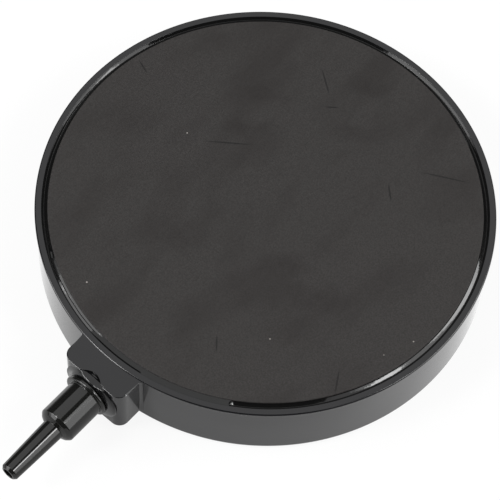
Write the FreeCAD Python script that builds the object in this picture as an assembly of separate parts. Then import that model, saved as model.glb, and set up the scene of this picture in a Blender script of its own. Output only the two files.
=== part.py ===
import FreeCAD, Part
import math
import os

# Side-inlet fine bubble disc diffuser for a tank or a pond.
#
# A porous ceramic plate is bonded into a shallow moulded dish. Air comes in through a stepped hose
# nozzle glued into a boss on the side of the dish, spreads through the chamber under the plate and
# leaves through the pores of the plate as fine bubbles. Nothing moves.
#
# Frame, in millimetres: the origin is the centre of the underside, +Z points up through the plate
# and +X runs out along the hose nozzle.

# Dish
RIM_RADIUS = 53.5
DISH_HEIGHT = 18.6
WALL_DRAFT_DEG = 0.9
BASE_ROUNDING = 1.2
RIM_WIDTH = 1.6
RIM_CHAMFER = 0.2
FLOOR_THICKNESS = 2.4
LEDGE_WIDTH = 1.6

# Porous plate and the bead of adhesive round it
PLATE_THICKNESS = 5.5
PLATE_STAND = 0.2
PLATE_CHAMFER = 0.2
BEAD_WIDTH = 1.4
BEAD_DROP = 0.15
BEAD_SAG = 0.3

# Ribs and post that carry the plate
RIB_COUNT = 6
RIB_INNER_RADIUS = 11.0
RIB_OUTER_RADIUS = 41.0
RIB_TOP_WIDTH = 1.6
RIB_FOOT_WIDTH = 2.2
POST_RADIUS = 2.5

# Boss on the side of the dish
BOSS_WIDTH = 17.5
BOSS_REACH = 59.6
BOSS_TOP = 18.35
BOSS_BOTTOM = 2.6
BOSS_DRAFT_DEG = 0.5
BOSS_CORNER_RADIUS = 2.5
BOSS_FOOT_CHAMFER = 0.4
BOSS_ROOT_RADIUS = 0.7

# Socket in the boss: a countersunk mouth, the nozzle's seat and the air port
NOZZLE_AXIS_HEIGHT = 11.4
MOUTH_RADIUS = 7.6
MOUTH_FLOOR_RADIUS = 6.9
MOUTH_DEPTH = 1.7
SOCKET_RADIUS = 4.5
SOCKET_DEPTH = 5.6
PORT_RADIUS = 1.8

# Hose nozzle, with distances measured out from the boss's face
TAIL_RADIUS = 4.4
TAIL_LENGTH = 5.0
TAIL_CHAMFER = 0.3
FLANGE_RADIUS = 5.7
FLANGE_GAP = 0.85
FLANGE_THICKNESS = 1.15
FLANGE_CHAMFER = 0.35
BARREL_RADIUS = 4.65
SHOULDER_START = 11.2
SHOULDER_BREAK = 11.95
SHOULDER_BREAK_RADIUS = 3.95
SHOULDER_END = 12.5
SPIGOT_ROOT_RADIUS = 2.68
SPIGOT_TIP_RADIUS = 2.25
SPIGOT_END = 26.4
TIP_RADIUS = 1.72
TIP_REACH = 27.0
BORE_RADIUS = 1.3
BORE_CHAMFER = 0.15

# Adhesive squeezed out round the nozzle's root
SQUEEZE_SPREAD = 0.15
SQUEEZE_LIP = 0.35
SQUEEZE_TOP_DROP = 0.3

# A corner cut back by less than this is one flat chamfer, and a larger one is rounded in flats
SMALL_EDGE = 0.6
ROUNDING_FLATS = 3

LEDGE_HEIGHT = DISH_HEIGHT + PLATE_STAND - PLATE_THICKNESS
GROOVE_RADIUS = RIM_RADIUS - RIM_WIDTH
PLATE_RADIUS = GROOVE_RADIUS - BEAD_WIDTH
CHAMBER_RADIUS = PLATE_RADIUS - LEDGE_WIDTH
UP = FreeCAD.Vector(0, 0, 1)
ORIGIN = FreeCAD.Vector(0, 0, 0)
NOZZLE_DIRECTION = FreeCAD.Vector(1, 0, 0)
NOZZLE_CENTRE = FreeCAD.Vector(0, 0, NOZZLE_AXIS_HEIGHT)


def upright(radius, height):
    """A point in the XZ plane, for sections turned about the disc's axis."""
    return FreeCAD.Vector(radius, 0, height)


def along_nozzle(reach, radius):
    """A point in the XZ plane, for sections turned about the nozzle's axis."""
    return FreeCAD.Vector(BOSS_REACH + reach, 0, NOZZLE_AXIS_HEIGHT + radius)


def eased_corner(before, corner, after, easing):
    """The points that ease a corner, starting and ending at the easing's distance from it."""
    if easing == 0:
        return [corner]
    start = corner + (before - corner).normalize() * easing
    end = corner + (after - corner).normalize() * easing
    flats = 1 if easing < SMALL_EDGE else ROUNDING_FLATS
    shares = [flat / flats for flat in range(flats + 1)]
    return [start * (1 - t) ** 2 + corner * (2 * t * (1 - t)) + end * t**2 for t in shares]


def section_face(corners, point):
    """A flat face with straight sides between (u, v, easing) corners."""
    places = [point(u, v) for u, v, easing in corners]
    outline = []
    for i, (u, v, easing) in enumerate(corners):
        following = places[(i + 1) % len(places)]
        outline.extend(eased_corner(places[i - 1], places[i], following, easing))
    outline.append(outline[0])
    return Part.Face(Part.makePolygon(outline))


def turned(corners):
    """A solid turned about the disc's axis from (radius, height, easing) corners."""
    return section_face(corners, upright).revolve(ORIGIN, UP, 360)


def turned_on_nozzle(corners):
    """A solid turned about the nozzle's axis from (reach, radius, easing) corners."""
    return section_face(corners, along_nozzle).revolve(NOZZLE_CENTRE, NOZZLE_DIRECTION, 360)


def edges_in(shape, lowest, highest):
    """The edges of a shape that lie wholly between two opposite corners of a box."""
    region = FreeCAD.BoundBox(*lowest, *highest)
    return [edge for edge in shape.Edges if region.isInside(edge.BoundBox)]


def dish_shell():
    """Floor, drafted wall, flat rim lip and the ledge that the plate is bonded to."""
    base_radius = RIM_RADIUS - DISH_HEIGHT * math.tan(math.radians(WALL_DRAFT_DEG))
    return turned([
        (0, 0, 0),
        (base_radius, 0, BASE_ROUNDING),
        (RIM_RADIUS, DISH_HEIGHT, RIM_CHAMFER),
        (GROOVE_RADIUS, DISH_HEIGHT, RIM_CHAMFER),
        (GROOVE_RADIUS, LEDGE_HEIGHT, 0),
        (CHAMBER_RADIUS, LEDGE_HEIGHT, 0),
        (CHAMBER_RADIUS, FLOOR_THICKNESS, 0),
        (0, FLOOR_THICKNESS, 0),
    ])


def support_rib(number):
    """One drafted radial rib under the plate, clear of the air port."""
    foot = FLOOR_THICKNESS / 2
    section = section_face(
        [
            (-RIB_FOOT_WIDTH / 2, foot, 0),
            (RIB_FOOT_WIDTH / 2, foot, 0),
            (RIB_TOP_WIDTH / 2, LEDGE_HEIGHT, 0),
            (-RIB_TOP_WIDTH / 2, LEDGE_HEIGHT, 0),
        ],
        lambda across, height: FreeCAD.Vector(RIB_INNER_RADIUS, across, height),
    )
    rib = section.extrude(FreeCAD.Vector(RIB_OUTER_RADIUS - RIB_INNER_RADIUS, 0, 0))
    spacing = 360 / RIB_COUNT
    rib.rotate(ORIGIN, UP, (number + 0.5) * spacing)
    return rib


def centre_post():
    """The round post under the middle of the plate."""
    foot = FLOOR_THICKNESS / 2
    return Part.makeCylinder(POST_RADIUS, LEDGE_HEIGHT - foot, FreeCAD.Vector(0, 0, foot), UP)


def boss_plan(height):
    """Square plan of the boss at a height: its sides and its face lean in as they go down."""
    lean = (BOSS_TOP - height) * math.tan(math.radians(BOSS_DRAFT_DEG))
    half_width = BOSS_WIDTH / 2 - lean
    root = GROOVE_RADIUS - RIM_WIDTH
    plan = section_face(
        [
            (root, -half_width, 0),
            (BOSS_REACH - lean, -half_width, 0),
            (BOSS_REACH - lean, half_width, 0),
            (root, half_width, 0),
        ],
        lambda along, across: FreeCAD.Vector(along, across, height),
    )
    return plan.OuterWire


def boss_block():
    """The solid boss, rounded down its outer corners and chamfered along its foot."""
    block = Part.makeLoft([boss_plan(BOSS_BOTTOM), boss_plan(BOSS_TOP)], True)
    wide = BOSS_WIDTH / 2 + 1
    outer_edges = edges_in(block, (RIM_RADIUS, -wide, 0), (BOSS_REACH + 1, wide, DISH_HEIGHT))
    corner_edges = [edge for edge in outer_edges if edge.BoundBox.ZLength > 1]
    block = block.makeFillet(BOSS_CORNER_RADIUS, corner_edges)
    low_edges = edges_in(block, (0, -wide, 0), (BOSS_REACH + 1, wide, BOSS_BOTTOM + 1))
    foot_edges = [edge for edge in low_edges if edge.BoundBox.XMax > GROOVE_RADIUS]
    return block.makeChamfer(BOSS_FOOT_CHAMFER, foot_edges)


def with_boss(dish):
    """The dish with the boss grown out of its wall through small root fillets."""
    bore_out = Part.makeCylinder(GROOVE_RADIUS, DISH_HEIGHT)
    joined = dish.fuse(boss_block().cut(bore_out)).removeSplitter()
    wide = BOSS_WIDTH / 2 + 1
    near_wall = edges_in(joined, (GROOVE_RADIUS, -wide, 0), (RIM_RADIUS, wide, DISH_HEIGHT))
    root_edges = [edge for edge in near_wall if edge.BoundBox.ZLength > BOSS_TOP / 2]
    return joined.makeFillet(BOSS_ROOT_RADIUS, root_edges)


def socket_cutter():
    """Countersunk mouth, nozzle seat and air port, cut from the boss's face to the chamber."""
    inside = CHAMBER_RADIUS - LEDGE_WIDTH - BOSS_REACH
    flare = (MOUTH_RADIUS - MOUTH_FLOOR_RADIUS) / MOUTH_DEPTH
    return turned_on_nozzle([
        (inside, 0, 0),
        (inside, PORT_RADIUS, 0),
        (-SOCKET_DEPTH, PORT_RADIUS, 0),
        (-SOCKET_DEPTH, SOCKET_RADIUS, 0),
        (-MOUTH_DEPTH, SOCKET_RADIUS, 0),
        (-MOUTH_DEPTH, MOUTH_FLOOR_RADIUS, 0),
        (1, MOUTH_RADIUS + flare, 0),
        (1, 0, 0),
    ])


def make_housing():
    """The moulded dish: shell, ribs, post and the boss with its socket."""
    housing = with_boss(dish_shell())
    housing = housing.fuse([support_rib(number) for number in range(RIB_COUNT)])
    housing = housing.fuse(centre_post())
    return housing.cut(socket_cutter()).removeSplitter()


def make_diffuser_plate():
    """The flat porous ceramic plate, standing just proud of the rim."""
    top = LEDGE_HEIGHT + PLATE_THICKNESS
    return turned([
        (0, LEDGE_HEIGHT, 0),
        (PLATE_RADIUS, LEDGE_HEIGHT, 0),
        (PLATE_RADIUS, top, PLATE_CHAMFER),
        (0, top, 0),
    ])


def make_plate_adhesive():
    """The ring of adhesive that fills the groove round the plate and sags between its edges."""
    edge_height = DISH_HEIGHT - RIM_CHAMFER - BEAD_DROP
    return turned([
        (PLATE_RADIUS, LEDGE_HEIGHT, 0),
        (GROOVE_RADIUS, LEDGE_HEIGHT, 0),
        (GROOVE_RADIUS, edge_height, 0),
        (GROOVE_RADIUS - BEAD_WIDTH / 2, edge_height - BEAD_SAG, 0),
        (PLATE_RADIUS, edge_height, 0),
    ])


def make_hose_nozzle():
    """Glued tail, flange, straight barrel, domed shoulder and tapered spigot on one bore."""
    flange_front = FLANGE_GAP + FLANGE_THICKNESS
    return turned_on_nozzle([
        (-TAIL_LENGTH, BORE_RADIUS, 0),
        (-TAIL_LENGTH, TAIL_RADIUS, TAIL_CHAMFER),
        (FLANGE_GAP, TAIL_RADIUS, 0),
        (FLANGE_GAP, FLANGE_RADIUS, FLANGE_CHAMFER),
        (flange_front, FLANGE_RADIUS, FLANGE_CHAMFER),
        (flange_front, BARREL_RADIUS, 0),
        (SHOULDER_START, BARREL_RADIUS, 0),
        (SHOULDER_BREAK, SHOULDER_BREAK_RADIUS, 0),
        (SHOULDER_END, SPIGOT_ROOT_RADIUS, 0),
        (SPIGOT_END, SPIGOT_TIP_RADIUS, 0),
        (TIP_REACH, TIP_RADIUS, 0),
        (TIP_REACH, BORE_RADIUS, BORE_CHAMFER),
    ])


def make_nozzle_adhesive():
    """Adhesive that fills the socket's mouth and swells out to the flange, wiped level on top."""
    spread = MOUTH_RADIUS - SQUEEZE_SPREAD
    ring = turned_on_nozzle([
        (-MOUTH_DEPTH, TAIL_RADIUS, 0),
        (-MOUTH_DEPTH, MOUTH_FLOOR_RADIUS - SQUEEZE_SPREAD, 0),
        (0, spread, 0),
        (SQUEEZE_LIP, spread - SQUEEZE_LIP / 2, 0),
        (FLANGE_GAP, FLANGE_RADIUS - FLANGE_CHAMFER, 0),
        (FLANGE_GAP, TAIL_RADIUS, 0),
    ])
    wiped_height = BOSS_TOP - SQUEEZE_TOP_DROP
    wiped_corner = FreeCAD.Vector(BOSS_REACH - MOUTH_DEPTH, -BOSS_WIDTH / 2, wiped_height)
    return ring.cut(Part.makeBox(BOSS_WIDTH, BOSS_WIDTH, BOSS_WIDTH, wiped_corner))


def main():
    """Builds each piece and writes it under its own name."""
    pieces = {
        "housing": make_housing(),
        "diffuser_plate": make_diffuser_plate(),
        "plate_adhesive": make_plate_adhesive(),
        "hose_nozzle": make_hose_nozzle(),
        "nozzle_adhesive": make_nozzle_adhesive(),
    }
    os.makedirs("parts", exist_ok=True)
    for name, shape in pieces.items():
        volume = round(shape.Volume, 1)
        print(name, "valid:", shape.isValid(), "solids:", len(shape.Solids), "volume:", volume)
        shape.exportStep(f"parts/{name}.step")


main()
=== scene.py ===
import math
import random

import bmesh
import bpy
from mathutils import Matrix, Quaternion, Vector


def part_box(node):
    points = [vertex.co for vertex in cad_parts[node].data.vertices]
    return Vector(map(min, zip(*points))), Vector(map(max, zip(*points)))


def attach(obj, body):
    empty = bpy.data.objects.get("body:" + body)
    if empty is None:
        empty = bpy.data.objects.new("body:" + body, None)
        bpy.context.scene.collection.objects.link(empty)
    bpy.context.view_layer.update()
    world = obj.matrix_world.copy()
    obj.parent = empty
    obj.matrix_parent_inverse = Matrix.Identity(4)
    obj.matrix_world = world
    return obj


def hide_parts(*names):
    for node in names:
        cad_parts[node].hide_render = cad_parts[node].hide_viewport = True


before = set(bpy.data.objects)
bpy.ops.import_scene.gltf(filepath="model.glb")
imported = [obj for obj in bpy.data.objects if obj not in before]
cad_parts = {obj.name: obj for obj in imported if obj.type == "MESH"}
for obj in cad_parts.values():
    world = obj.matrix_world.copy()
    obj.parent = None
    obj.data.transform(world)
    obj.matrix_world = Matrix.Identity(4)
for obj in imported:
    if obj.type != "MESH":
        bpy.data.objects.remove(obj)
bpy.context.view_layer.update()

# Side-inlet fine bubble disc diffuser: a moulded dish with a boss on its side, a porous ceramic
# plate bonded into it, and a stepped hose nozzle glued into the boss. Lengths are in millimetres
# and angles in degrees; azimuth 0 is along the nozzle and 90 to its left, looking out along it.

MM = 0.001

# Finer shape of the dish, beyond what its box gives
WALL_DRAFT = 0.9
RIM_OUTER_EASING = 0.38
RIM_INNER_EASING = 0.1
LIP_DROP = 0.5
LIP_EASING = 0.1
NECK_DROP = 1.1
NECK_DEPTH = 0.2
NECK_EASING = 0.2
FOOT_DEPTH = 0.06
BASE_ROUNDING = 1.5
FLOOR_THICKNESS = 2.4
CHAMBER_ROUNDING = 1.0
LEDGE_WIDTH = 1.6
LEDGE_EASING = 0.3
PLATE_EDGE_WEAR = 0.25
DISH_SEGMENTS = 480

# Boss on the side of the dish
BOSS_HALF_WIDTH = 8.75
BOSS_TOP = 18.35
BOSS_BOTTOM = 2.6
BOSS_DRAFT = 0.5
BOSS_CORNER = 2.5
TOP_CHAMFER_WIDTH = 0.3
TOP_CHAMFER_DROP = 0.16
TOP_CHAMFER_FLARE = 0.07
# Just under the chamfer the sides turn in, by (drop below its edge, inset)
TOP_EDGE_TURN = ((0.08, 0), (0.02, 0.02), (0, 0.06))
BOSS_FOOT_EASING = 0.5
BOSS_ROOT_FILLET = 0.7
ROOT_BITE = 0.03
BURIED_DEPTH = 0.8
FOOT_STEPS = 4
FILLET_STEPS = 8
CORNER_STEPS = 12
BURIED_STEPS = 8

# Socket in the boss
MOUTH_RADIUS = 7.6
MOUTH_FLOOR_RADIUS = 6.9
MOUTH_DEPTH = 1.7
MOUTH_EASING = 0.3
SOCKET_RADIUS = 4.5
SOCKET_DEPTH = 5.6
PORT_RADIUS = 1.8
CUTTER_OVERRUN = 1

# Hose nozzle, with distances measured out from the boss's face
TAIL_RADIUS = 4.4
TAIL_LENGTH = 5.0
FLANGE_GAP = 0.85
FLANGE_THICKNESS = 1.15
FLANGE_RUNOUT = 0.2
BARREL_RADIUS = 4.65
SHOULDER_START = 11.2
SHOULDER_BREAK = 11.95
SHOULDER_BREAK_RADIUS = 3.95
SHOULDER_END = 12.5
SHOULDER_END_RADIUS = 2.86
SPIGOT_ROOT_RADIUS = 2.68
SPIGOT_TIP_RADIUS = 2.25
SPIGOT_END = 26.4
TIP_RADIUS = 1.72
BORE_RADIUS = 1.3
NOZZLE_SEGMENTS = 160

# Camera, with its lens and sensor in millimetres
VIEW_PLACE = (227.397, 168.703, 523.207)
VIEW_TARGET = (11.503, 5.070, 18.627)
VIEW_ROLL = 4.4946
VIEW_LENS = 180
VIEW_SENSOR = 36
VIEW_CLIP = 10

# Lamps as (name, azimuth, elevation, width, height, radiance, distance): width and height are how
# many degrees each looks from the disc, and the distances of lamps and cards are in metres
LAMP_DISTANCE = 0.95
SOFTBOX_DISTANCE = LAMP_DISTANCE + 0.05
LAMPS = (
    ("right_softbox", 117, 32, 40, 54, 1.5, SOFTBOX_DISTANCE),
    ("right_core", 100, 51, 9, 9, 12.0, LAMP_DISTANCE),
    ("right_strip", 133, 36, 38, 12, 6.5, LAMP_DISTANCE),
    ("left_softbox", -34, 32, 40, 46, 2.0, SOFTBOX_DISTANCE),
    ("left_core", -29, 50, 12, 12, 18.0, LAMP_DISTANCE),
    ("left_strip", -58, 38, 22, 10, 7.0, LAMP_DISTANCE),
)

# Black cards that keep the gloss dark between the lamps, as (name, azimuths, elevations)
CARD_DISTANCE = 0.8
CARD_COLUMNS = 24
CARD_ROWS = 8
CARDS = (
    ("back_card", (147, 243), (14, 41)),
    ("left_back_card", (243, 300), (0, 41)),
    ("front_card", (-12, 95), (0, 48)),
    ("camera_card", (2, 72), (48, 76)),
    ("right_gap_card", (95, 150), (59, 77)),
    ("left_gap_card", (-90, -60), (30, 60)),
)

# The floor and the world, as seen and as they light the disc
SKY_GLOW = 0.5
SEEN_GLOW = 0.88
FLOOR_HALF_SIZE = 3.0
# Reflections see the floor glow by place: a painted pool of light towards POOL_AZIMUTH and painted shade
# towards SHADE_AZIMUTH
POOL_AZIMUTH = 30
POOL_FADE = (5, 70)
POOL_GLOW = 1.9
SHADE_AZIMUTH = 250
SHADE_FADE = (25, 60)
SHADE_GLOW = 0.2
GLOW_SHARES = (0.5, 0.95)


def box_mm(node):
    """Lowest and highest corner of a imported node, in millimetres."""
    low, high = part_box(node)
    return Vector(low) / MM, Vector(high) / MM


housing_low, housing_high = box_mm("housing")
plate_low, plate_high = box_mm("diffuser_plate")
_, groove_high = box_mm("plate_adhesive")
nozzle_low, nozzle_high = box_mm("hose_nozzle")

rim_radius = -housing_low.x
rim_height = housing_high.z
boss_reach = housing_high.x
groove_radius = groove_high.x
ledge_height = plate_low.z
plate_radius = plate_high.x
plate_top = plate_high.z
flange_radius = nozzle_high.y
axis_height = (nozzle_low.z + nozzle_high.z) / 2
tip_reach = nozzle_high.x - boss_reach


random.seed(7)


# Shapes


def rounded(corners, steps=6):
    """A closed section with each (u, v, radius) corner turned into an arc."""
    section = []
    for number, (u, v, radius) in enumerate(corners):
        corner = Vector((u, v))
        if radius == 0:
            section.append(corner)
            continue
        back = (Vector(corners[number - 1][:2]) - corner).normalized()
        ahead = (Vector(corners[(number + 1) % len(corners)][:2]) - corner).normalized()
        half = back.angle(ahead) / 2
        centre = corner + (back + ahead).normalized() * radius / math.sin(half)
        start = corner + back * radius / math.tan(half) - centre
        end = corner + ahead * radius / math.tan(half) - centre
        for step in range(steps + 1):
            section.append(centre + start.lerp(end, step / steps).normalized() * radius)
    return section


def on_disc(angle, radius, height):
    """A point on a section turned about the disc's axis."""
    return Vector((radius * math.cos(angle), radius * math.sin(angle), height))


def on_nozzle(angle, reach, radius):
    """A point on a section turned about the nozzle's axis, with angle 0 at its top."""
    across = radius * math.sin(angle)
    return Vector((boss_reach + reach, across, axis_height + radius * math.cos(angle)))


def smooth_piece(name, mesh, sharp=30):
    """A piece that is smooth across its fillets and flat where its faces are flat."""
    mesh.polygons.foreach_set("use_smooth", [True] * len(mesh.polygons))
    mesh.set_sharp_from_angle(angle=math.radians(sharp))
    piece = bpy.data.objects.new(name, mesh)
    bpy.context.scene.collection.objects.link(piece)
    normals = piece.modifiers.new("flat faces stay flat", "WEIGHTED_NORMAL")
    normals.keep_sharp = True
    return piece


def skinned(name, loops, closed_up):
    """A mesh skinned over loops of points in millimetres; it joins up or is capped at the ends."""
    count = len(loops[0])
    points = [point * MM for loop in loops for point in loop]
    faces = []
    for number in range(len(loops) if closed_up else len(loops) - 1):
        here = number * count
        there = (number + 1) % len(loops) * count
        for step in range(count):
            onward = (step + 1) % count
            faces.append((here + step, here + onward, there + onward, there + step))
    if not closed_up:
        faces.append(tuple(reversed(range(count))))
        faces.append(tuple(range(len(points) - count, len(points))))
    mesh = bpy.data.meshes.new(name)
    mesh.from_pydata(points, [], faces)
    shape = bmesh.new()
    shape.from_mesh(mesh)
    bmesh.ops.remove_doubles(shape, verts=shape.verts, dist=0.001 * MM)
    bmesh.ops.recalc_face_normals(shape, faces=shape.faces)
    shape.to_mesh(mesh)
    shape.free()
    return mesh


def ring(name, section_at, place, segments):
    """A closed ring whose section may change with the angle round it."""
    angles = [math.tau * number / segments for number in range(segments)]
    loops = [[place(angle, u, v) for u, v in section_at(angle)] for angle in angles]
    return skinned(name, loops, closed_up=True)


def lathe(name, corners, place, segments, steps=6):
    """A ring with the same rounded section all the way round."""
    section = rounded(corners, steps)
    return ring(name, lambda angle: section, place, segments)


def combined(mesh, other, operation):
    """The mesh joined with or cut by another one."""
    pieces = [bpy.data.objects.new("scratch", data) for data in (mesh, other)]
    for piece in pieces:
        bpy.context.scene.collection.objects.link(piece)
    step = pieces[0].modifiers.new("combine", "BOOLEAN")
    step.operation = operation
    step.object = pieces[1]
    step.solver = "EXACT"
    graph = bpy.context.evaluated_depsgraph_get()
    result = bpy.data.meshes.new_from_object(pieces[0].evaluated_get(graph))
    for piece in pieces:
        bpy.data.objects.remove(piece)
    return result


def finish_piece(piece, material, node):
    """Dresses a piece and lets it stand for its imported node."""
    piece.data.materials.clear()
    piece.data.materials.append(material)
    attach(piece, "root")
    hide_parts(node)


# Dish with its boss


def wall_radius(height):
    """The drafted wall's radius at a height."""
    return rim_radius - (rim_height - height) * math.tan(math.radians(WALL_DRAFT))


def boss_outline(height, inset_at):
    """Plan of the boss at a height, flared into the wall, closed inside it and drawn in."""
    lean = (BOSS_TOP - height) * math.tan(math.radians(BOSS_DRAFT))
    half_width = BOSS_HALF_WIDTH - lean
    face = boss_reach - lean
    wall = wall_radius(height) - ROOT_BITE
    flare_across = half_width + BOSS_ROOT_FILLET
    flare_along = math.sqrt((wall + BOSS_ROOT_FILLET) ** 2 - flare_across**2)
    on_wall = math.atan2(flare_across, flare_along) - math.pi
    side = []
    for step in range(FILLET_STEPS + 1):
        turn = on_wall + (-math.pi / 2 - on_wall) * step / FILLET_STEPS
        outward = -Vector((math.cos(turn), math.sin(turn), 0))
        centre = Vector((flare_along, flare_across, height))
        side.append((centre - outward * BOSS_ROOT_FILLET, outward))
    for step in range(CORNER_STEPS + 1):
        turn = math.pi / 2 * (1 - step / CORNER_STEPS)
        outward = Vector((math.cos(turn), math.sin(turn), 0))
        centre = Vector((face - BOSS_CORNER, half_width - BOSS_CORNER, height))
        side.append((centre + outward * BOSS_CORNER, outward))
    half = [point - outward * inset_at(point) for point, outward in side]
    other_half = [Vector((point.x, -point.y, height)) for point in reversed(half)]
    buried = []
    end_angle = math.atan2(half[0].y, half[0].x)
    for step in range(BURIED_STEPS + 1):
        angle = end_angle * (2 * step / BURIED_STEPS - 1)
        buried.append(on_disc(angle, wall - BURIED_DEPTH, height))
    return half + other_half + buried


def top_chamfer(point):
    """Width of the chamfer along the boss's top edge: it widens towards the outer corners."""
    return TOP_CHAMFER_WIDTH + TOP_CHAMFER_FLARE * (point.x - boss_reach + BOSS_CORNER)


def boss_mesh():
    """The boss from its foot up, its foot eased and its top edge cut back in a low chamfer."""
    loops = []
    for step in range(FOOT_STEPS + 1):
        turn = math.pi / 2 * step / FOOT_STEPS
        height = BOSS_BOTTOM + BOSS_FOOT_EASING * (1 - math.cos(turn))
        inset = BOSS_FOOT_EASING * (1 - math.sin(turn))
        loops.append(boss_outline(height, lambda point: inset))
    edge = BOSS_TOP - TOP_CHAMFER_DROP
    for drop, inset in TOP_EDGE_TURN:
        loops.append(boss_outline(edge - drop, lambda point: inset))
    loops.append(boss_outline(BOSS_TOP, top_chamfer))
    return skinned("boss", loops, closed_up=False)


def dish_mesh():
    """Floor, drafted wall, flat rim and the ledge under the plate."""
    chamber_radius = plate_radius - LEDGE_WIDTH
    corners = [
        (0, 0, 0),
        (wall_radius(0) - FOOT_DEPTH, 0, BASE_ROUNDING),
        (rim_radius - NECK_DEPTH, rim_height - NECK_DROP, NECK_EASING),
        (rim_radius, rim_height - LIP_DROP, LIP_EASING),
        (rim_radius, rim_height, RIM_OUTER_EASING),
        (groove_radius, rim_height, RIM_INNER_EASING),
        (groove_radius, ledge_height, 0),
        (chamber_radius, ledge_height, LEDGE_EASING),
        (chamber_radius, FLOOR_THICKNESS, CHAMBER_ROUNDING),
        (0, FLOOR_THICKNESS, 0),
    ]
    return lathe("dish", corners, on_disc, DISH_SEGMENTS)


def socket_mesh():
    """The countersunk mouth, the nozzle's seat and the air port, as one cutter."""
    inside = plate_radius - 2 * LEDGE_WIDTH - boss_reach
    flare = (MOUTH_RADIUS - MOUTH_FLOOR_RADIUS) / MOUTH_DEPTH
    corners = [
        (inside, 0, 0),
        (inside, PORT_RADIUS, 0),
        (-SOCKET_DEPTH, PORT_RADIUS, 0),
        (-SOCKET_DEPTH, SOCKET_RADIUS, 0),
        (-MOUTH_DEPTH, SOCKET_RADIUS, 0),
        (-MOUTH_DEPTH, MOUTH_FLOOR_RADIUS, MOUTH_EASING),
        (CUTTER_OVERRUN, MOUTH_RADIUS + flare * CUTTER_OVERRUN, 0),
        (CUTTER_OVERRUN, 0, 0),
    ]
    return lathe("socket", corners, on_nozzle, NOZZLE_SEGMENTS)


def housing_piece():
    """The moulded dish and boss in one skin, cut by the socket."""
    mesh = combined(dish_mesh(), boss_mesh(), "UNION")
    mesh = combined(mesh, socket_mesh(), "DIFFERENCE")
    return smooth_piece("moulded_dish", mesh)


# Plate and its bead


def plate_piece():
    """The flat porous plate, its edge a little worn."""
    corners = [
        (0, ledge_height, 0),
        (plate_radius, ledge_height, 0),
        (plate_radius, plate_top, PLATE_EDGE_WEAR),
        (0, plate_top, 0),
    ]
    return smooth_piece("porous_plate", lathe("plate", corners, on_disc, DISH_SEGMENTS))


# The bead was run round by hand: before the boss a second stroke lies over the first, and beside
# it the bead ends in a flush blob. Points are (radius, height); stretches are degrees round the disc
BEAD_SHOULDER = (50.62, 18.36)
BEAD_VALLEY = (51.38, 17.97)
DOUBLED_SHOULDER = (50.95, 18.2)
DOUBLED_RIDGE = (51.14, 18.36)
DOUBLED_VALLEY = (51.66, 18.08)
DOUBLED_RISE = (-36, -31)
DOUBLED_FALL = (-9, -4)
FLUSH_SHOULDER = (50.8, 18.55)
FLUSH_VALLEY = (51.55, 18.5)
# The blob fills up in two steps of (share, start, end)
FLUSH_RISES = ((0.7, -10, -4), (0.3, 6, 12))
FLUSH_FALL = (31.5, 33)
BEAD_OVERLAP = 0.02
BEAD_WANDER = 0.04
BEAD_RIPPLE = 0.03
BEAD_DIP = 0.02
RIPPLE_BEATS = (46, 17)
BEAD_SEGMENTS = 720
BEAD_WAVES = [(random.uniform(0, math.tau), number) for number in (3, 5, 8, 13, 21, 34)]


def eased(value, start, end):
    """0 before start, 1 after end, and a smooth rise between them."""
    share = min(1.0, max(0.0, (value - start) / (end - start)))
    return share * share * (3 - 2 * share)


def blend(share, first, second):
    """The first value at 0, and the second at 1."""
    return first + (second - first) * share


def moved(point, across, up):
    """A (radius, height) point moved a little."""
    return Vector((point[0] + across, point[1] + up))


def bead_section(angle):
    """The bead's section: from the plate's edge down to a narrow valley and up to the rim."""
    degrees = math.degrees(angle + math.pi) % 360 - 180
    wave = sum(math.sin(number * angle + phase) for phase, number in BEAD_WAVES) / len(BEAD_WAVES)
    ripple = math.prod(math.sin(math.radians(degrees * beat)) for beat in RIPPLE_BEATS)
    flush = sum(share * eased(degrees, start, end) for share, start, end in FLUSH_RISES)
    flush *= 1 - eased(degrees, *FLUSH_FALL)
    doubled = eased(degrees, *DOUBLED_RISE) * (1 - eased(degrees, *DOUBLED_FALL))
    rim_edge = Vector((groove_radius + BEAD_OVERLAP, rim_height - RIM_INNER_EASING))
    plate_edge = Vector((plate_radius - BEAD_OVERLAP, plate_top - PLATE_EDGE_WEAR))
    shoulder = Vector(BEAD_SHOULDER)
    valley = moved(BEAD_VALLEY, BEAD_WANDER * wave, BEAD_DIP * wave)
    shoulder = shoulder.lerp(moved(DOUBLED_SHOULDER, BEAD_RIPPLE * ripple, 0), doubled)
    shoulder = shoulder.lerp(moved(FLUSH_SHOULDER, 0, BEAD_DIP * ripple), flush)
    valley = valley.lerp(moved(DOUBLED_VALLEY, 0, BEAD_RIPPLE * ripple), doubled)
    valley = valley.lerp(moved(FLUSH_VALLEY, 0, BEAD_DIP * ripple), flush)
    ridge = shoulder.lerp(valley, 0.5)
    ridge = ridge.lerp(moved(DOUBLED_RIDGE, BEAD_RIPPLE * ripple, BEAD_DIP * wave), doubled)
    return rounded([
        (plate_radius - BEAD_OVERLAP, ledge_height, 0),
        (groove_radius + BEAD_OVERLAP, ledge_height, 0),
        (*rim_edge, 0),
        (*valley, 0.08),
        (*ridge, 0.06),
        (*shoulder, 0.06),
        (*plate_edge, 0),
    ], steps=4)


def bead_piece():
    """The ring of cured adhesive round the plate."""
    mesh = ring("bead", bead_section, on_disc, BEAD_SEGMENTS)
    return smooth_piece("plate_bead", mesh, sharp=60)


# Nozzle and its cement


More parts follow.
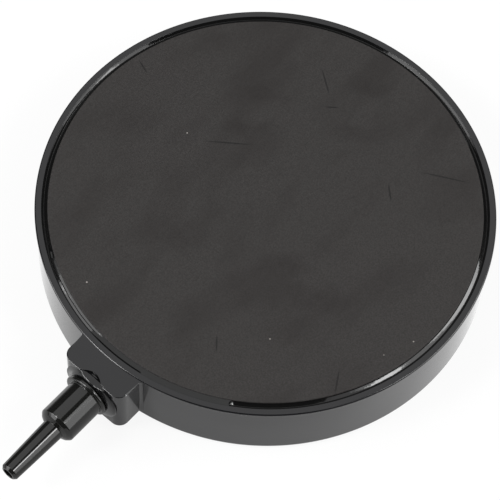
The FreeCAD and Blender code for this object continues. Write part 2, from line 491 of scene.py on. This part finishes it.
def nozzle_section(angle):
    """The nozzle's section: tail, slightly off-centre flange, barrel, shoulder and spigot."""
    flange_front = FLANGE_GAP + FLANGE_THICKNESS
    flange = flange_radius - FLANGE_RUNOUT * math.sin(angle)
    return rounded([
        (-TAIL_LENGTH, BORE_RADIUS, 0.2),
        (-TAIL_LENGTH, TAIL_RADIUS, 0.3),
        (FLANGE_GAP, TAIL_RADIUS, 0),
        (FLANGE_GAP, flange, 0.45),
        (flange_front, flange, 0.45),
        (flange_front, BARREL_RADIUS, 0.15),
        (SHOULDER_START, BARREL_RADIUS, 0.5),
        (SHOULDER_BREAK, SHOULDER_BREAK_RADIUS, 1.2),
        (SHOULDER_END, SHOULDER_END_RADIUS, 0.08),
        (SHOULDER_END, SPIGOT_ROOT_RADIUS, 0.06),
        (SPIGOT_END, SPIGOT_TIP_RADIUS, 0.3),
        (tip_reach, TIP_RADIUS, 0.1),
        (tip_reach, BORE_RADIUS, 0.12),
    ])


def nozzle_piece():
    """The moulded nozzle."""
    mesh = ring("nozzle", nozzle_section, on_nozzle, NOZZLE_SEGMENTS)
    return smooth_piece("stepped_nozzle", mesh)


# The cement fills the mouth and swells out of it into a pad that leans to azimuth 90
CEMENT_STEPS = 22
CEMENT_SEGMENTS = 360
CEMENT_OVERLAP = 0.05
CEMENT_FLOOR_GAP = 0.1
CEMENT_MOUTH_GAP = 0.05
CEMENT_FLANGE_GAP = 0.5
PAD_RADIUS = 7.0
PAD_LEAN = 0.65
SWELL = 0.3
SWELL_LEAN = 0.2
SWELL_POWER = 4
# On top it was wiped into a lobe: how high it stands over the axis, along the nozzle from the
# boss's face, where it rises and falls across the nozzle, and how much lower the rest is
LOBE_HEIGHTS = ((-1.7, 6.3), (-0.95, 6.34), (-0.7, 6.48), (0.85, 6.0))
LOBE_RISE = (-4.2, -3.2)
LOBE_FALL = (-0.2, 1.8)
LOBE_STEP = 0.15


def along_line(place, knots):
    """The value at a place on a line through (place, value) knots."""
    for (start, low), (end, high) in zip(knots, knots[1:]):
        if place <= end:
            return blend(max(0.0, place - start) / (end - start), low, high)
    return knots[-1][1]


def cement_section(angle):
    """The cement's section: a pad at azimuth 90, a lean edge at -90 and a wiped lobe on top."""
    lean = math.sin(angle)
    pad = PAD_RADIUS + PAD_LEAN * lean
    swell = SWELL + SWELL_LEAN * lean
    end = FLANGE_GAP + CEMENT_OVERLAP
    section = [Vector((end, TAIL_RADIUS)), Vector((-MOUTH_DEPTH, TAIL_RADIUS))]
    for step in range(CEMENT_STEPS + 1):
        reach = blend(step / CEMENT_STEPS, -MOUTH_DEPTH, end)
        if reach < 0:
            low = MOUTH_FLOOR_RADIUS - CEMENT_FLOOR_GAP
            high = MOUTH_RADIUS - CEMENT_MOUTH_GAP
            radius = blend((reach + MOUTH_DEPTH) / MOUTH_DEPTH, low, high)
        else:
            fall = (reach / end) ** (1 + SWELL_POWER * swell)
            radius = blend(fall, pad, flange_radius - CEMENT_FLANGE_GAP)
        across = radius * math.sin(angle)
        if math.cos(angle) > 0:
            lobe = along_line(reach, LOBE_HEIGHTS) / math.cos(angle)
            lobe_share = eased(across, *LOBE_RISE) * (1 - eased(across, *LOBE_FALL))
            radius = min(radius, blend(lobe_share, lobe - LOBE_STEP, lobe))
        section.append(Vector((reach, radius)))
    return section


def cement_piece():
    """Cement squeezed out round the nozzle's root."""
    mesh = ring("cement", cement_section, on_nozzle, CEMENT_SEGMENTS)
    return smooth_piece("nozzle_cement", mesh, sharp=75)


# Materials


def srgb(colour):
    """An sRGB hex colour as the linear values that shaders take."""
    linear = []
    for place in (1, 3, 5):
        part = int(colour[place : place + 2], 16) / 255
        linear.append(part / 12.92 if part <= 0.04045 else ((part + 0.055) / 1.055) ** 2.4)
    return linear + [1]


def add_node(tree, kind, inputs=None, **settings):
    """Adds a node with its settings, and sets or links its inputs by name or number."""
    node = tree.nodes.new(kind)
    for name, value in settings.items():
        setattr(node, name, value)
    for name, value in (inputs or {}).items():
        if isinstance(value, bpy.types.NodeSocket):
            tree.links.new(value, node.inputs[name])
        else:
            node.inputs[name].default_value = value
    return node


def new_material(name):
    """An empty node material."""
    material = bpy.data.materials.new(name)
    material.use_nodes = True
    material.node_tree.nodes.clear()
    return material


def moulded_abs():
    """Injection-moulded black ABS from a polished mould: deep, glossy and very slightly rippled."""
    material = new_material("moulded_abs")
    tree = material.node_tree
    place = add_node(tree, "ShaderNodeTexCoord").outputs["Object"]

    # Swells where the melt shrank, about 9 mm apart, and the grain of the mould's polish: the real
    # grain is a few hundredths of a millimetre, drawn at 0.4 so that it shows
    ripple = add_node(tree, "ShaderNodeTexNoise", {
        "Vector": place,
        "Scale": 1 / (9 * MM),
        "Detail": 1.0,
    })
    grain = add_node(tree, "ShaderNodeTexNoise", {
        "Vector": place,
        "Scale": 1 / (0.4 * MM),
        "Detail": 2.0,
    })
    rough = add_node(tree, "ShaderNodeMapRange", {
        "Value": grain.outputs["Fac"],
        "To Min": 0.08,
        "To Max": 0.16,
    })
    swell = add_node(tree, "ShaderNodeBump", {
        "Height": ripple.outputs["Fac"],
        "Strength": 0.15,
        "Distance": 0.1 * MM,
    })
    bump = add_node(tree, "ShaderNodeBump", {
        "Height": grain.outputs["Fac"],
        "Normal": swell.outputs["Normal"],
        "Strength": 0.1,
        "Distance": 0.01 * MM,
    })
    shader = add_node(tree, "ShaderNodeBsdfPrincipled", {
        "Base Color": srgb("#111113"),
        "Roughness": rough.outputs["Result"],
        "IOR": 1.53,
        "Normal": bump.outputs["Normal"],
    })
    add_node(tree, "ShaderNodeOutputMaterial", {"Surface": shader.outputs["BSDF"]})
    return material


# Handling scratches on the plate (x, y, length, turn) and darker stains (x, y, length, width)
SCRATCH_WIDTH = 0.5
SCRATCH_FADE = 1.3
STAIN_TURN = 127
MARK_HEIGHT = 4
SCRATCHES = (
    (-6.5, -17.3, 10, 127),
    (-34.8, -11.5, 6.8, 54),
    (-30.3, -5.7, 3.0, 129),
    (-21.7, 19.2, 4.1, 47),
    (23.7, 41.5, 5.5, 31),
    (34.5, 15.2, 3.5, 40),
    (-8.6, -46.3, 3.6, 70),
    (-33.5, 26.2, 10.1, 118),
)
STAINS = (
    (-40.4, -2.6, 13, 8),
    (-28.2, 2.7, 15, 7),
    (-12.5, -16.7, 16, 9),
    (10.1, 25.0, 22, 12),
    (-22.9, -19.5, 24, 12),
    (20.0, -10.1, 26, 14),
    (9.1, 13.0, 20, 10),
)


def mark(tree, place, centre, size, turn):
    """A soft elongated spot: 1 at its centre, fading to 0 at its edge."""
    local = add_node(tree, "ShaderNodeMapping", {
        "Vector": place,
        "Location": (centre[0] * MM, centre[1] * MM, plate_top * MM),
        "Rotation": (0, 0, math.radians(turn)),
        "Scale": (size[0] / 2 * MM, size[1] / 2 * MM, MARK_HEIGHT * MM),
    }, vector_type="TEXTURE")
    spot = add_node(tree, "ShaderNodeTexGradient", {
        "Vector": local.outputs[0],
    }, gradient_type="SPHERICAL")
    return spot.outputs[1]


def tinted(tree, share, colour, tint):
    """The colour, with a tint mixed in where the share says."""
    mixed = add_node(tree, "ShaderNodeMix", {0: share, 6: colour, 7: srgb(tint)}, data_type="RGBA")
    return mixed.outputs[2]


def porous_ceramic():
    """Sintered ceramic plate, ground flat: matt, open and finely speckled, with handling marks."""
    material = new_material("porous_ceramic")
    tree = material.node_tree
    place = add_node(tree, "ShaderNodeTexCoord").outputs["Object"]

    # Sintered grit: the real grains are about 0.1 mm, drawn three times as coarse so they show
    grit = add_node(tree, "ShaderNodeTexNoise", {
        "Vector": place,
        "Scale": 1 / (0.35 * MM),
        "Detail": 3.0,
    })
    grains = add_node(tree, "ShaderNodeMapRange", {
        "Value": grit.outputs["Fac"],
        "From Min": 0.3,
        "From Max": 0.7,
    })
    colour = add_node(tree, "ShaderNodeMix", {
        0: grains.outputs["Result"],
        6: srgb("#242221"),
        7: srgb("#32302f"),
    }, data_type="RGBA").outputs[2]

    # Cloudy wear from wiping: wide, soft and slightly warm, drawn out across the plate
    drawn = add_node(tree, "ShaderNodeMapping", {
        "Vector": place,
        "Rotation": (0, 0, math.radians(37)),
        "Scale": (1.0, 2.2, 1.0),
    })
    cloud = add_node(tree, "ShaderNodeTexNoise", {
        "Vector": drawn.outputs[0],
        "Scale": 1 / (22 * MM),
        "Detail": 5.0,
    })
    haze = add_node(tree, "ShaderNodeMapRange", {
        "Value": cloud.outputs["Fac"],
        "From Min": 0.48,
        "From Max": 0.68,
        "To Max": 0.55,
    })
    colour = tinted(tree, haze.outputs["Result"], colour, "#1f1c1b")

    # Glue stains and smudges near the middle: brown-black and ragged
    rag = add_node(tree, "ShaderNodeTexNoise", {"Vector": place, "Scale": 1 / (3 * MM), "Detail": 4.0})
    for x, y, length, width in STAINS:
        spot = mark(tree, place, (x, y), (length, width), STAIN_TURN)
        ragged = add_node(tree, "ShaderNodeMath", {0: spot, 1: rag.outputs["Fac"]}, operation="MULTIPLY")
        share = add_node(tree, "ShaderNodeMapRange", {
            "Value": ragged.outputs[0],
            "From Min": 0.1,
            "From Max": 0.45,
            "To Max": 0.4,
        })
        colour = tinted(tree, share.outputs["Result"], colour, "#181413")

    # Scratches from handling: narrow and dark, fading out at their ends
    for x, y, length, turn in SCRATCHES:
        spot = mark(tree, place, (x, y), (length * SCRATCH_FADE, SCRATCH_WIDTH), turn)
        share = add_node(tree, "ShaderNodeMapRange", {"Value": spot, "From Max": 0.4, "To Max": 0.75})
        colour = tinted(tree, share.outputs["Result"], colour, "#0b0a0a")

    # Dust: pale grains lying on the plate, one every few centimetres
    cells = add_node(tree, "ShaderNodeTexVoronoi", {"Vector": place, "Scale": 1 / (8 * MM)})
    speck = add_node(tree, "ShaderNodeMapRange", {
        "Value": cells.outputs["Distance"],
        "From Min": 0.03,
        "From Max": 0.02,
    })
    colour = tinted(tree, speck.outputs["Result"], colour, "#8a8582")

    bump = add_node(tree, "ShaderNodeBump", {
        "Height": grit.outputs["Fac"],
        "Strength": 0.4,
        "Distance": 0.04 * MM,
    })
    shader = add_node(tree, "ShaderNodeBsdfPrincipled", {
        "Base Color": colour,
        "Roughness": 0.68,
        "Specular IOR Level": 0.3,
        "Normal": bump.outputs["Normal"],
    })
    add_node(tree, "ShaderNodeOutputMaterial", {"Surface": shader.outputs["BSDF"]})
    return material


def cured_adhesive(name, colour, roughness):
    """Black adhesive that levelled and cured in the open: wet-looking, with soft swells."""
    material = new_material(name)
    tree = material.node_tree
    place = add_node(tree, "ShaderNodeTexCoord").outputs["Object"]

    # Swells left as it levelled, about 2 mm apart
    swell = add_node(tree, "ShaderNodeTexNoise", {
        "Vector": place,
        "Scale": 1 / (2 * MM),
        "Detail": 2.0,
    })
    bump = add_node(tree, "ShaderNodeBump", {
        "Height": swell.outputs["Fac"],
        "Strength": 0.2,
        "Distance": 0.1 * MM,
    })
    shader = add_node(tree, "ShaderNodeBsdfPrincipled", {
        "Base Color": srgb(colour),
        "Roughness": roughness,
        "IOR": 1.5,
        "Normal": bump.outputs["Normal"],
    })
    add_node(tree, "ShaderNodeOutputMaterial", {"Surface": shader.outputs["BSDF"]})
    return material


def nozzle_abs():
    """Injection-moulded black ABS: tight highlights, slightly broken by the mould's grain."""
    material = new_material("nozzle_abs")
    tree = material.node_tree
    place = add_node(tree, "ShaderNodeTexCoord").outputs["Object"]

    # The real grain is a few hundredths of a millimetre, drawn at 0.4 so that it shows
    grain = add_node(tree, "ShaderNodeTexNoise", {
        "Vector": place,
        "Scale": 1 / (0.4 * MM),
        "Detail": 3.0,
    })
    rough = add_node(tree, "ShaderNodeMapRange", {
        "Value": grain.outputs["Fac"],
        "To Min": 0.06,
        "To Max": 0.12,
    })
    bump = add_node(tree, "ShaderNodeBump", {
        "Height": grain.outputs["Fac"],
        "Strength": 0.2,
        "Distance": 0.01 * MM,
    })
    shader = add_node(tree, "ShaderNodeBsdfPrincipled", {
        "Base Color": srgb("#131312"),
        "Roughness": rough.outputs["Result"],
        "IOR": 1.53,
        "Normal": bump.outputs["Normal"],
    })
    add_node(tree, "ShaderNodeOutputMaterial", {"Surface": shader.outputs["BSDF"]})
    return material


# Studio


def towards(azimuth, elevation):
    """The unit direction from the disc at an azimuth and an elevation."""
    flat = math.cos(math.radians(elevation))
    turn = math.radians(azimuth)
    return Vector((flat * math.cos(turn), flat * math.sin(turn), math.sin(math.radians(elevation))))


def aim(thing, place, target):
    """Puts a lamp or the camera at a place and points it at a target."""
    thing.location = place
    thing.rotation_mode = "QUATERNION"
    thing.rotation_quaternion = (Vector(target) - Vector(place)).to_track_quat("-Z", "Y")
    bpy.context.scene.collection.objects.link(thing)


def softbox(name, azimuth, elevation, width, height, radiance, distance):
    """A lamp that looks so many degrees wide and high from the disc."""
    lamp = bpy.data.lights.new(name, "AREA")
    lamp.shape = "RECTANGLE"
    lamp.size = 2 * distance * math.tan(math.radians(width / 2))
    lamp.size_y = 2 * distance * math.tan(math.radians(height / 2))
    lamp.energy = radiance * math.pi * lamp.size * lamp.size_y
    thing = bpy.data.objects.new(name, lamp)
    thing.visible_camera = False
    aim(thing, towards(azimuth, elevation) * distance, (0, 0, 0))


def dark_card(name, azimuths, elevations):
    """A curved black card that only reflections see."""
    points = []
    for column in range(CARD_COLUMNS + 1):
        azimuth = azimuths[0] + (azimuths[1] - azimuths[0]) * column / CARD_COLUMNS
        for row in range(CARD_ROWS + 1):
            elevation = elevations[0] + (elevations[1] - elevations[0]) * row / CARD_ROWS
            points.append(towards(azimuth, elevation) * CARD_DISTANCE)
    faces = []
    for column in range(CARD_COLUMNS):
        for row in range(CARD_ROWS):
            corner = column * (CARD_ROWS + 1) + row
            faces.append((corner, corner + 1, corner + CARD_ROWS + 2, corner + CARD_ROWS + 1))
    mesh = bpy.data.meshes.new(name)
    mesh.from_pydata(points, [], faces)
    card = bpy.data.objects.new(name, mesh)
    card.visible_camera = False
    card.visible_diffuse = False
    card.visible_transmission = False
    card.visible_shadow = False
    bpy.context.scene.collection.objects.link(card)
    return card


def background_rays(tree):
    """1 for the rays that should see the plain white background, and 0 for those that light."""
    rays = add_node(tree, "ShaderNodeLightPath").outputs
    seen = add_node(tree, "ShaderNodeMath", {
        0: rays["Is Camera Ray"],
        1: rays["Is Glossy Ray"],
    }, operation="MAXIMUM")
    seen = add_node(tree, "ShaderNodeMath", {
        0: seen.outputs[0],
        1: rays["Is Transmission Ray"],
    }, operation="MAXIMUM")
    return seen.outputs[0]


def white_world():
    """A world that looks white and lights the disc at half that."""
    world = bpy.data.worlds.new("studio")
    bpy.context.scene.world = world
    world.use_nodes = True
    tree = world.node_tree
    tree.nodes.clear()
    strength = add_node(tree, "ShaderNodeMapRange", {
        "Value": background_rays(tree),
        "To Min": SKY_GLOW,
        "To Max": 1.0,
    })
    sky = add_node(tree, "ShaderNodeBackground", {
        "Color": srgb("#ffffff"),
        "Strength": strength.outputs["Result"],
    })
    add_node(tree, "ShaderNodeOutputWorld", {"Surface": sky.outputs["Background"]})


def white_paper_and_painted_pool():
    """Matt white paper; seen in reflections it glows with a painted pool of light in front and painted
    shade behind.
    """
    material = new_material("white_paper_and_painted_pool")
    tree = material.node_tree
    glow = add_node(tree, "ShaderNodeEmission", {"Color": srgb("#ffffff"), "Strength": 1.0})
    paper = add_node(tree, "ShaderNodeBsdfDiffuse", {"Color": srgb("#f4f4f4")})
    place = add_node(tree, "ShaderNodeNewGeometry").outputs["Position"]
    forward = add_node(tree, "ShaderNodeVectorMath", {
        0: place,
        1: towards(POOL_AZIMUTH, 0) / MM,
    }, operation="DOT_PRODUCT")
    behind = add_node(tree, "ShaderNodeVectorMath", {
        0: place,
        1: towards(SHADE_AZIMUTH, 0) / MM,
    }, operation="DOT_PRODUCT")
    # Painted pool of light in front and painted shade behind, set by place on the floor
    pool = add_node(tree, "ShaderNodeMapRange", {
        "Value": forward.outputs["Value"],
        "From Min": POOL_FADE[0],
        "From Max": POOL_FADE[1],
        "To Min": POOL_GLOW,
        "To Max": 0.0,
    })
    shade = add_node(tree, "ShaderNodeMapRange", {
        "Value": behind.outputs["Value"],
        "From Min": SHADE_FADE[0],
        "From Max": SHADE_FADE[1],
    })
    pool = add_node(tree, "ShaderNodeMix", {
        0: shade.outputs["Result"],
        2: pool.outputs["Result"],
        3: SHADE_GLOW,
    })
    pool_share = add_node(tree, "ShaderNodeMapRange", {
        "Value": shade.outputs["Result"],
        "To Min": GLOW_SHARES[0],
        "To Max": GLOW_SHARES[1],
    })

    # The camera sees an even white instead, with the soft shadow of the disc in it
    seen = add_node(tree, "ShaderNodeLightPath").outputs["Is Camera Ray"]
    strength = add_node(tree, "ShaderNodeMix", {0: seen, 2: pool.outputs[0], 3: 1.0})
    tree.links.new(strength.outputs[0], glow.inputs["Strength"])
    share = add_node(tree, "ShaderNodeMix", {
        0: seen,
        2: pool_share.outputs["Result"],
        3: SEEN_GLOW,
    })
    share = add_node(tree, "ShaderNodeMath", {
        0: share.outputs[0],
        1: background_rays(tree),
    }, operation="MULTIPLY")
    both = add_node(tree, "ShaderNodeMixShader", {
        0: share.outputs[0],
        1: paper.outputs["BSDF"],
        2: glow.outputs["Emission"],
    })
    add_node(tree, "ShaderNodeOutputMaterial", {"Surface": both.outputs["Shader"]})
    return material


def white_floor():
    """The sheet of paper that the disc stands on."""
    paper = white_paper_and_painted_pool()
    half = FLOOR_HALF_SIZE
    corners = [(-half, -half, 0), (half, -half, 0), (half, half, 0), (-half, half, 0)]
    mesh = bpy.data.meshes.new("floor")
    mesh.from_pydata(corners, [], [(0, 1, 2, 3)])
    mesh.materials.append(paper)
    floor = bpy.data.objects.new("floor", mesh)
    bpy.context.scene.collection.objects.link(floor)


def black_card():
    """Black card: a dark grey that takes no light, so that it mirrors evenly."""
    material = new_material("black_card")
    tree = material.node_tree
    felt = add_node(tree, "ShaderNodeEmission", {"Color": srgb("#383838"), "Strength": 1.0})
    add_node(tree, "ShaderNodeOutputMaterial", {"Surface": felt.outputs["Emission"]})
    return material


def studio():
    """White floor and world, two softboxes with a hot core, and black cards between them."""
    white_world()
    white_floor()
    for name, *light in LAMPS:
        softbox(name, *light)
    card_material = black_card()
    for name, azimuths, elevations in CARDS:
        card = dark_card(name, azimuths, elevations)
        card.data.materials.append(card_material)


def camera():
    """The camera, slightly rolled."""
    thing = bpy.data.objects.new("camera", bpy.data.cameras.new("camera"))
    thing.data.lens = VIEW_LENS
    thing.data.sensor_width = VIEW_SENSOR
    thing.data.clip_start = VIEW_CLIP * MM
    aim(thing, Vector(VIEW_PLACE) * MM, Vector(VIEW_TARGET) * MM)
    thing.rotation_quaternion @= Quaternion((0, 0, 1), math.radians(VIEW_ROLL))
    bpy.context.scene.camera = thing


camera()
studio()
finish_piece(housing_piece(), moulded_abs(), "housing")
finish_piece(plate_piece(), porous_ceramic(), "diffuser_plate")
bead_adhesive = cured_adhesive("cured_adhesive", "#0c0c0c", roughness=0.08)
finish_piece(bead_piece(), bead_adhesive, "plate_adhesive")
finish_piece(nozzle_piece(), nozzle_abs(), "hose_nozzle")
root_cement = cured_adhesive("nozzle_solvent_cement", "#101011", roughness=0.1)
finish_piece(cement_piece(), root_cement, "nozzle_adhesive")

bpy.context.scene.view_settings.view_transform = "Standard"
